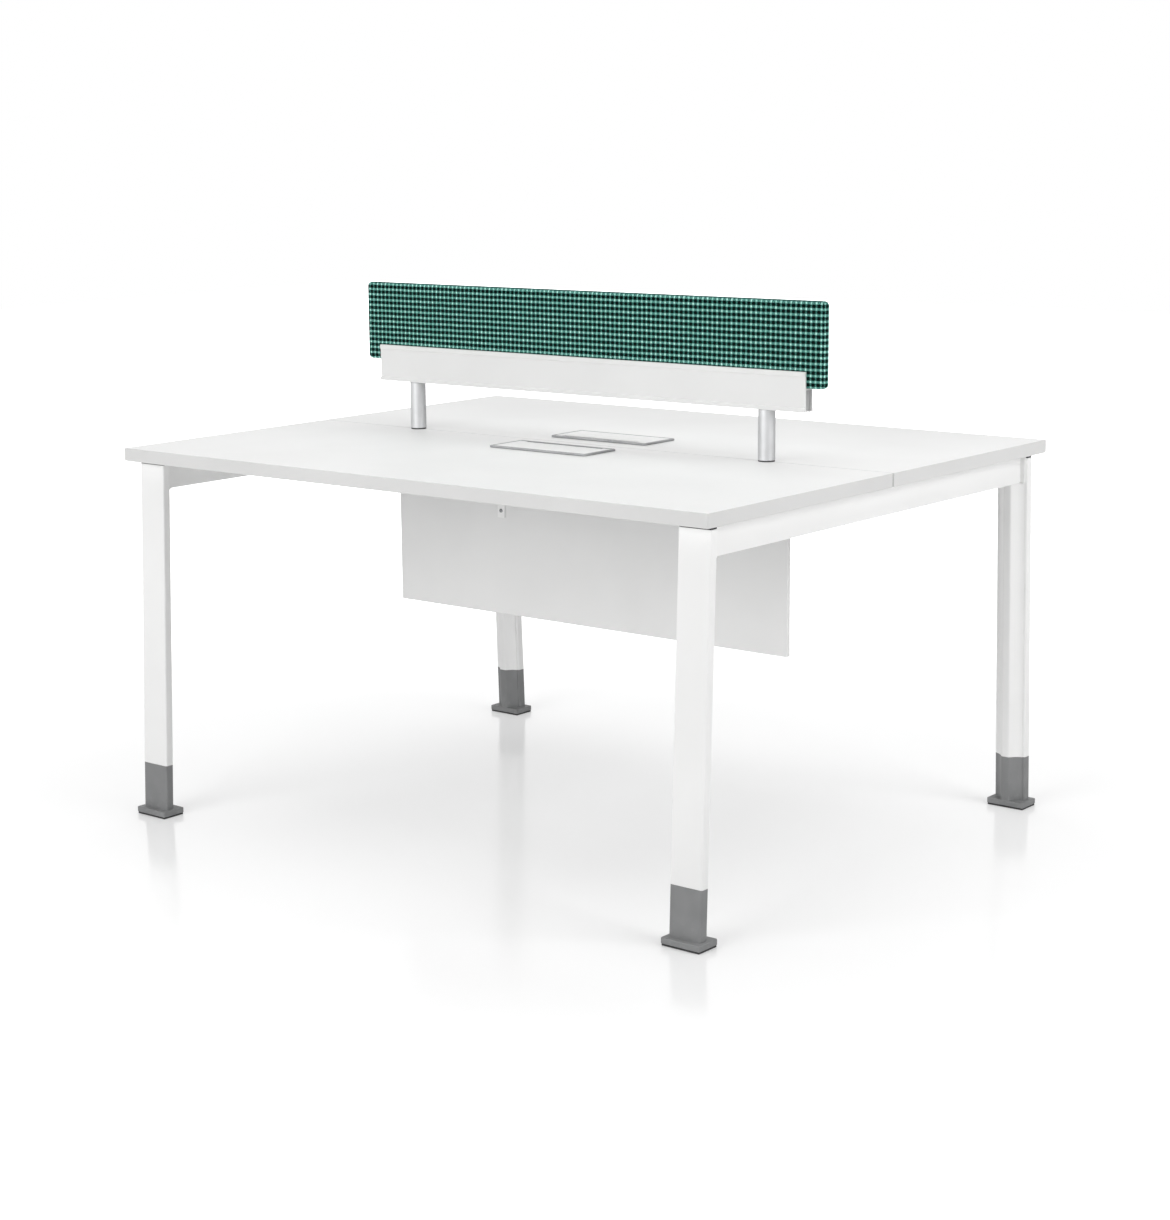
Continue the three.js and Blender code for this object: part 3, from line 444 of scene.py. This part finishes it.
# Screen cloth: the woven check, dull, with a trace of sheen
def make_fabric_finish():
    material, tree, shader = new_material("woven_check_fabric")
    check = use_group(tree, check_group, Pitch=CHECK_PITCH)
    tree.links.new(check.outputs["Colour"], shader.inputs["Base Color"])
    rough = spread(tree, check.outputs["Fuzz"], *GRAIN_SPAN, *CLOTH_ROUGHNESS)
    tree.links.new(rough, shader.inputs["Roughness"])
    shader.inputs["Specular IOR Level"].default_value = 0.04
    shader.inputs["Sheen Weight"].default_value = 0.015
    shader.inputs["Sheen Roughness"].default_value = 0.5
    add_bump(tree, shader, check.outputs["Height"], distance=0.3 * MM, strength=0.5)
    return material


worktop_finish = make_worktop_finish()
boot_finish = make_boot_finish()
fabric_finish = make_fabric_finish()
coat_finish = toothed(
    "white_powder_coat", COAT_WHITE, COAT_SHADE,
    rough=(0.36, 0.46), grain=1300.0, bump=0.08 * MM,
)
lid_finish = toothed(
    "white_lid", LID_WHITE, LID_SHADE,
    rough=(0.40, 0.50), grain=1200.0, bump=0.06 * MM,
)
cover_finish = toothed(
    "white_cover", COAT_WHITE, COAT_SHADE,
    rough=(0.42, 0.52), grain=1500.0, bump=0.06 * MM,
)
rail_finish = toothed(
    "white_rail_coat", RAIL_WHITE, RAIL_SHADE,
    rough=(0.36, 0.46), grain=1300.0, bump=0.08 * MM,
)
# Rail end plugs: grey as painted shade for the rail's shaded ends
plug_painted_shade_finish = toothed(
    "painted_shade_plug", PLUG_PAINTED_SHADE, PLUG_PAINTED_SHADE_DARKER,
    rough=(0.45, 0.58), grain=1400.0, bump=0.08 * MM,
)
panel_finish = toothed(
    "white_panel_board", PANEL_WHITE, PANEL_SHADE,
    rough=(0.46, 0.56), grain=1000.0, bump=0.08 * MM,
)
beam_finish = toothed(
    "grey_powder_coat", BEAM_GREY, BEAM_SHADE,
    rough=(0.42, 0.54), grain=1300.0, bump=0.1 * MM,
)
dark_finish = toothed(
    "dark_plastic", DARK_PLASTIC, DARK_SHADE,
    rough=(0.5, 0.65), grain=1200.0, bump=0.1 * MM,
)
post_finish = toothed(
    "satin_aluminium", ALUMINIUM, ALUMINIUM_SHADE,
    rough=(0.52, 0.62), grain=1600.0, bump=0.04 * MM, drift=20.0, metallic=1.0,
)
frame_finish = toothed(
    "brushed_aluminium", FRAME_GREY, FRAME_SHADE,
    rough=(0.55, 0.68), grain=1600.0, bump=0.04 * MM, drift=20.0, stretch=25.0, metallic=1.0,
)
zinc_finish = toothed(
    "zinc_plate", ZINC, ZINC_SHADE,
    rough=(0.30, 0.45), grain=500.0, bump=0.05 * MM, drift=60.0, metallic=1.0,
)
screw_finish = toothed(
    "grey_screw", SCREW_GREY, SCREW_SHADE,
    rough=(0.35, 0.5), grain=900.0, bump=0.05 * MM, drift=80.0, metallic=1.0,
)

# Which finish each piece takes, by the start of its name, the first that fits
FINISH_OF = (
    ("worktop", worktop_finish),
    ("flap_lid", lid_finish),
    ("flap_frame", frame_finish),
    ("flap_pin", zinc_finish),
    ("leg_cover", cover_finish),
    # Leg caps: dark plastic parts, whose dark also stands in for the contact shadow between each leg head and
    # the worktop (painted shade)
    ("leg_cap", dark_finish),
    ("leg_", coat_finish),
    ("boot", boot_finish),
    ("glide", dark_finish),
    ("nut_plate", zinc_finish),
    ("end_rail", coat_finish),
    ("beam", beam_finish),
    ("cable_tray", beam_finish),
    ("modesty_panel", panel_finish),
    ("panel_hanger", coat_finish),
    ("screen_rail", rail_finish),
    # Rail plugs take the grey of painted shade
    ("rail_plug", plug_painted_shade_finish),
    ("screen_board", fabric_finish),
    ("screen_post", post_finish),
    ("post_ring", dark_finish),
    ("t_bolt", zinc_finish),
    ("seam_clamp", zinc_finish),
    ("clamp_nut", zinc_finish),
)
for name, piece in nodes_by_name.items():
    finish = next(look for start, look in FINISH_OF if name.startswith(start))
    piece.data.materials.clear()
    piece.data.materials.append(finish)


# Mesh helpers
def new_piece(name, mesh, finish, body="frame"):
    piece = bpy.data.objects.new(name, mesh)
    bpy.context.scene.collection.objects.link(piece)
    mesh.materials.append(finish)
    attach(piece, body)
    return piece


# Shades bends round and flats flat: each corner takes the area-weighted normal of the faces that bend little
def shade_bends(mesh, degrees):
    limit = math.cos(math.radians(degrees))
    around = [[] for vertex in mesh.vertices]
    for face in mesh.polygons:
        for index in face.vertices:
            around[index].append((face.normal.copy(), face.area))
    corners = []
    for face in mesh.polygons:
        for index in face.vertices:
            total = Vector((0, 0, 0))
            for normal, area in around[index]:
                if normal.dot(face.normal) > limit:
                    total += normal * area
            corners.append(total.normalized() if total.length > 0 else face.normal.copy())
    mesh.shade_smooth()
    mesh.normals_split_custom_set(corners)


for piece in nodes_by_name.values():
    shade_bends(piece.data, SOLID_BEND)


# Joins each ring of points to the next and closes both ends
def skin_rings(work, rings):
    count = len(rings[0])
    for near, far in zip(rings, rings[1:]):
        for index in range(count):
            after = (index + 1) % count
            work.faces.new((near[index], near[after], far[after], far[index]))
    work.faces.new(list(reversed(rings[0])))
    work.faces.new(rings[-1])


# Turns the faces outward and hands over the mesh
def finish_mesh(work, name):
    bmesh.ops.recalc_face_normals(work, faces=work.faces)
    mesh = bpy.data.meshes.new(name)
    work.to_mesh(mesh)
    work.free()
    return mesh


# Outline of an upright rectangle with round corners, in X and Z
def rounded_outline(half_length, half_height, radius, steps):
    points = []
    for corner, (sx, sz) in enumerate(((1, 1), (-1, 1), (-1, -1), (1, -1))):
        for step in range(steps + 1):
            angle = math.pi / 2 * (corner + step / steps)
            points.append((
                sx * (half_length - radius) + radius * math.cos(angle),
                sz * (half_height - radius) + radius * math.sin(angle),
            ))
    return points


# Fabric screen: a board wrapped in cloth, with soft edges and faces that swell slightly over the padding
def make_screen():
    low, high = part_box("screen_board")
    middle = (low + high) / 2
    half_length = (high.x - low.x) / 2
    half_height = (high.z - low.z) / 2
    half_depth = (high.y - low.y) / 2
    edge = []
    for step in range(EDGE_STEPS + 1):
        angle = math.pi / 2 * step / EDGE_STEPS
        edge.append((CLOTH_EDGE * (1 - math.sin(angle)), half_depth - CLOTH_EDGE * (1 - math.cos(angle))))
    face = [(CLOTH_EDGE + inset, half_depth + CLOTH_SWELL * share) for inset, share in SWELL_STEPS]
    profile = [(inset, -depth) for inset, depth in reversed(face)]
    profile += [(inset, -depth) for inset, depth in edge]
    profile += [(inset, depth) for inset, depth in reversed(edge)]
    profile += face
    work = bmesh.new()
    rings = []
    for inset, depth in profile:
        radius = max(CLOTH_CORNER - inset, CLOTH_CORNER_LEAST)
        outline = rounded_outline(half_length - inset, half_height - inset, radius, CORNER_STEPS)
        rings.append([work.verts.new((middle.x + x, middle.y + depth, middle.z + z)) for x, z in outline])
    skin_rings(work, rings)
    mesh = finish_mesh(work, "fabric_screen")
    shade_bends(mesh, CLOTH_BEND)
    piece = new_piece("fabric_screen", mesh, fabric_finish)
    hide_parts("screen_board")


make_screen()


# Turns an outline of radius and rise about the upright axis
def turned_rings(work, outline, sides):
    rings = []
    for reach, rise in outline:
        ring = []
        for index in range(sides):
            angle = 2 * math.pi * index / sides
            ring.append(work.verts.new((reach * math.cos(angle), reach * math.sin(angle), rise)))
        rings.append(ring)
    return rings


# Puts a fastener made on the upright axis at its place, facing its direction
def set_fastener(work, place_at, direction):
    turn = Vector((0, 0, 1)).rotation_difference(Vector(direction)).to_matrix().to_4x4()
    work.transform(Matrix.Translation(place_at) @ turn)


# Screw with a domed head and a round recess for the driver
def domed_screw(name, place_at, direction, size, finish):
    radius, height = size
    work = bmesh.new()
    outline = [(radius * reach, height * rise) for reach, rise in DOME_OUTLINE]
    skin_rings(work, turned_rings(work, outline, SCREW_SIDES))
    set_fastener(work, place_at, direction)
    mesh = finish_mesh(work, name)
    shade_bends(mesh, SCREW_BEND)
    return new_piece(name, mesh, finish)


# Hexagon bolt head on a washer
def hexagon_bolt(name, place_at, direction, finish):
    work = bmesh.new()
    for outline, sides in ((WASHER_OUTLINE, WASHER_SIDES), (HEAD_OUTLINE, HEAD_SIDES)):
        outline = [(reach * MM, rise * MM) for reach, rise in outline]
        skin_rings(work, turned_rings(work, outline, sides))
    set_fastener(work, place_at, direction)
    return new_piece(name, finish_mesh(work, name), finish)


# Screws of one strap of the modesty panel: through its drop into the panel, through its flange into the tray
def add_strap_screws(user, side, hand):
    low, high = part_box(f"panel_hanger_{user}_{hand}")
    middle = (low.x + high.x) / 2
    inner = min(abs(low.y), abs(high.y))
    outer = max(abs(low.y), abs(high.y))
    on_panel = (middle, side * (inner + STRAP_SHEET), low.z + STRAP_SCREW_RISE)
    screw = domed_screw(f"hanger_screw_{user}_{hand}", on_panel, (0, side, 0), STRAP_SCREW, screw_finish)
    on_tray = (middle, side * (outer - TRAY_SCREW_INSET), high.z - STRAP_SHEET)
    lower = domed_screw(f"tray_screw_{user}_{hand}", on_tray, (0, 0, -1), TRAY_SCREW, screw_finish)


# Bolts through the end plates of one beam into the end rails
def add_beam_bolts(user):
    low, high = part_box(f"beam_{user}")
    middle = (low.z + high.z) / 2
    for hand, end, inward in (("left", low.x, 1), ("right", high.x, -1)):
        for index, across in enumerate((low.y + BEAM_BOLT_INSET, high.y - BEAM_BOLT_INSET)):
            spot = (end + inward * BEAM_PLATE, across, middle)
            bolt = hexagon_bolt(f"beam_bolt_{user}_{hand}_{index + 1}", spot, (inward, 0, 0), zinc_finish)


def add_fasteners():
    for user, side in (("front", -1), ("rear", 1)):
        for hand in ("left", "right"):
            add_strap_screws(user, side, hand)
        add_beam_bolts(user)


add_fasteners()


# Studio helper: 1 for what the camera sees, also in reflections, and 0 for what only lights the desk
def seen_directly(tree):
    path = place(tree, "ShaderNodeLightPath")
    direct = math_node(tree, "MAXIMUM", path.outputs["Is Camera Ray"], path.outputs["Is Glossy Ray"])
    return math_node(tree, "MAXIMUM", direct, path.outputs["Is Transmission Ray"])


# Floor: pale and slightly glossy, with painted light: a glow of its own that only shows and lights nothing,
# setting how deep the desk's shadow looks and fading to white further out
def make_floor():
    mesh = bpy.data.meshes.new("studio_floor")
    corners = [(sx * FLOOR_REACH, sy * FLOOR_REACH, 0) for sx, sy in ((-1, -1), (1, -1), (1, 1), (-1, 1))]
    mesh.from_pydata(corners, [], [(0, 1, 2, 3)])
    floor = bpy.data.objects.new("studio_floor", mesh)
    bpy.context.scene.collection.objects.link(floor)
    material, tree, shader = new_material("studio_floor")
    shader.inputs["Base Color"].default_value = FLOOR_WHITE
    shader.inputs["Roughness"].default_value = FLOOR_ROUGHNESS
    shader.inputs["Emission Color"].default_value = WHITE
    where = place(tree, "ShaderNodeTexCoord")
    half = place(tree, "ShaderNodeVectorMath", operation="DIVIDE")
    half.inputs[1].default_value = (cad_box[1][0], cad_box[1][1], 1.0)
    tree.links.new(where.outputs["Object"], half.inputs[0])
    reach_out = place(tree, "ShaderNodeVectorMath", operation="LENGTH")
    tree.links.new(half.outputs["Vector"], reach_out.inputs[0])
    far = spread(tree, reach_out.outputs["Value"], *FAR_SPAN, 0.0, FAR_GLOW, "SMOOTHSTEP")
    tilt = place(tree, "ShaderNodeVectorMath", operation="DOT_PRODUCT")
    tilt.inputs[1].default_value = GLOW_TILT
    tree.links.new(where.outputs["Object"], tilt.inputs[0])
    near = math_node(tree, "MAXIMUM", math_node(tree, "ADD", tilt.outputs["Value"], FLOOR_GLOW), 0.0)
    rim = spread(tree, reach_out.outputs["Value"], *RIM_SPAN, 0.0, RIM_GLOW, "SMOOTHSTEP")
    glow = math_node(tree, "ADD", math_node(tree, "ADD", near, rim), far)
    # Painted light: the glow lifts the floor's shading where the camera and reflections see it
    tree.links.new(math_node(tree, "MULTIPLY", seen_directly(tree), glow), shader.inputs["Emission Strength"])
    mesh.materials.append(material)


# Surround: a soft light, stronger behind the desk, that looks white, and dimmer on one side in reflections
def make_world():
    world = bpy.data.worlds.new("studio")
    bpy.context.scene.world = world
    world.use_nodes = True
    tree = world.node_tree
    soft = tree.nodes["Background"]
    soft.inputs["Color"].default_value = WHITE
    where = place(tree, "ShaderNodeTexCoord")
    rear = place(tree, "ShaderNodeVectorMath", operation="DOT_PRODUCT")
    tree.links.new(where.outputs["Generated"], rear.inputs[0])
    rear.inputs[1].default_value = REAR_SIDE
    lobe = math_node(tree, "POWER", math_node(tree, "MAXIMUM", rear.outputs["Value"], 0.0), REAR_FALLOFF)
    tree.links.new(math_node(tree, "MULTIPLY_ADD", lobe, REAR_GLOW, SURROUND), soft.inputs["Strength"])
    white = place(tree, "ShaderNodeBackground")
    white.inputs["Color"].default_value = WHITE
    path = place(tree, "ShaderNodeLightPath")
    side = place(tree, "ShaderNodeVectorMath", operation="DOT_PRODUCT")
    tree.links.new(where.outputs["Generated"], side.inputs[0])
    side.inputs[1].default_value = DIM_SIDE
    dim = spread(tree, side.outputs["Value"], *DIM_SPAN, 1.0, DIM_LEVEL)
    unseen = math_node(tree, "SUBTRACT", 1.0, path.outputs["Is Camera Ray"])
    tree.links.new(math_node(tree, "POWER", dim, unseen), white.inputs["Strength"])
    mix = place(tree, "ShaderNodeMixShader")
    tree.links.new(seen_directly(tree), mix.inputs[0])
    tree.links.new(soft.outputs[0], mix.inputs[1])
    tree.links.new(white.outputs[0], mix.inputs[2])
    tree.links.new(mix.outputs[0], tree.nodes["World Output"].inputs["Surface"])


def add_light(name, place_at, aim, size, power):
    lamp = bpy.data.lights.new(name, "AREA")
    lamp.shape = "RECTANGLE"
    lamp.size, lamp.size_y = size
    lamp.energy = power
    lamp_object = bpy.data.objects.new(name, lamp)
    bpy.context.scene.collection.objects.link(lamp_object)
    lamp_object.location = place_at
    lamp_object.rotation_euler = (Vector(aim) - Vector(place_at)).to_track_quat("-Z", "Y").to_euler()


# Camera: turned, pitched and rolled, with the middle of the picture shifted off its axis
def make_camera():
    turn, pitch, roll = CAMERA_TURN, CAMERA_PITCH, CAMERA_ROLL
    forward = Vector((math.sin(turn) * math.cos(pitch), math.cos(turn) * math.cos(pitch), -math.sin(pitch)))
    right = Vector((math.cos(turn), -math.sin(turn), 0.0))
    down = forward.cross(right)
    right, down = (
        math.cos(roll) * right + math.sin(roll) * down,
        math.cos(roll) * down - math.sin(roll) * right,
    )
    camera = bpy.data.cameras.new("camera")
    camera_object = bpy.data.objects.new("camera", camera)
    bpy.context.scene.collection.objects.link(camera_object)
    up = -down
    back = -forward
    camera_object.matrix_world = Matrix((
        (right.x, up.x, back.x, CAMERA_PLACE[0]),
        (right.y, up.y, back.y, CAMERA_PLACE[1]),
        (right.z, up.z, back.z, CAMERA_PLACE[2]),
        (0, 0, 0, 1),
    ))
    camera.sensor_fit = "HORIZONTAL"
    camera.sensor_width = SENSOR_WIDTH
    camera.lens = FOCAL_PIXELS / PICTURE_WIDTH * SENSOR_WIDTH
    camera.shift_x = (PICTURE_WIDTH / 2 - PICTURE_CENTRE[0]) / PICTURE_WIDTH
    camera.shift_y = (PICTURE_CENTRE[1] - PICTURE_HEIGHT / 2) / PICTURE_WIDTH
    camera.clip_end = 200.0
    bpy.context.scene.camera = camera_object


make_floor()
make_world()
for lamp in LAMPS:
    add_light(*lamp)
make_camera()
bpy.context.scene.view_settings.view_transform = "Standard"
